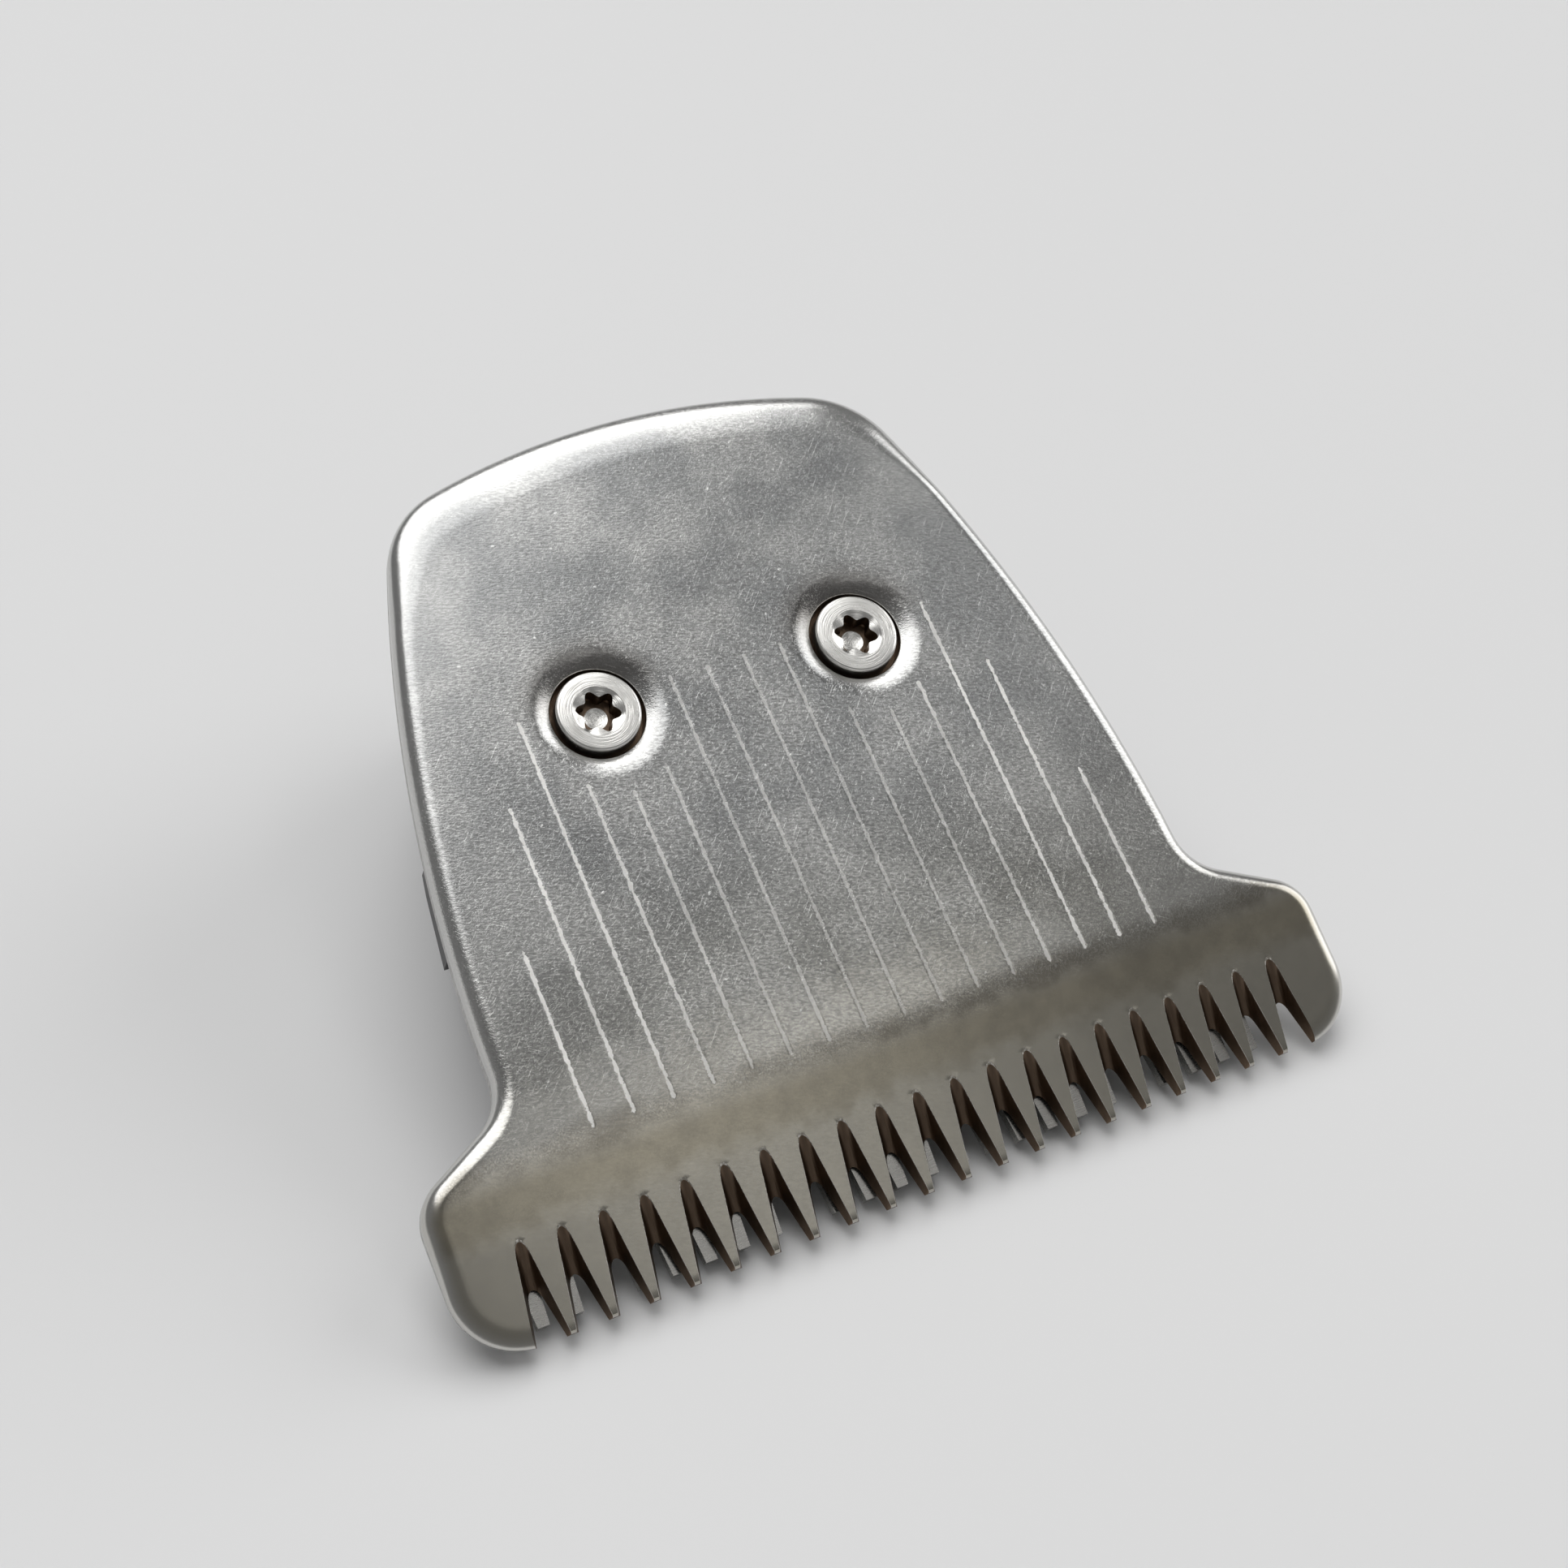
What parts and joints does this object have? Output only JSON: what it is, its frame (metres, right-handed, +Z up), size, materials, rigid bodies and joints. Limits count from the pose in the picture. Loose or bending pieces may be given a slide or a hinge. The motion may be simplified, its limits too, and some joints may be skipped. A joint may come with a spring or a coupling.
{
  "type": "hair trimmer blade head",
  "caption": "Detachable wide T-blade trimmer head: a stainless comb plate with ground teeth over a sliding cutter, screwed to a wedge-shaped plastic housing with a snap coupling underneath.",
  "frame": {"origin": "centre of the bounding box on the ground, under the flat coupling face", "axes": "+X along the teeth to the right seen from above with the teeth towards the viewer, +Y from the teeth to the rounded rear edge, +Z up"},
  "size_m": [0.041, 0.0366, 0.0169],
  "materials": {
    "satin_steel": "fine blasted satin",
    "ground_steel": "fine ground",
    "screw_steel": "turned",
    "spring_steel": "drawn wire",
    "ivory_acetal": "moulded",
    "grey_acetal": "moulded",
    "black_plastic": "fine moulded grain"
  },
  "bodies": {
    "head": {"guard_blade": "satin_steel", "blade_guide": "grey_acetal", "head_frame": "black_plastic", "coupling_base": "black_plastic", "pressure_spring": "spring_steel", "spring_pin": "spring_steel", "blade_screw_left": "screw_steel", "blade_screw_right": "screw_steel"},
    "cutter": {"cutter_blade": "ground_steel", "cutter_carrier": "ivory_acetal", "cutter_rivet_left": "ground_steel", "cutter_rivet_right": "ground_steel"}
  },
  "joints": [
    {"name": "cutter_slide", "type": "slide", "parent": "head", "child": "cutter", "axis": [1, 0, 0], "range_m": [-0.00091, 0.00149]}
  ]
}
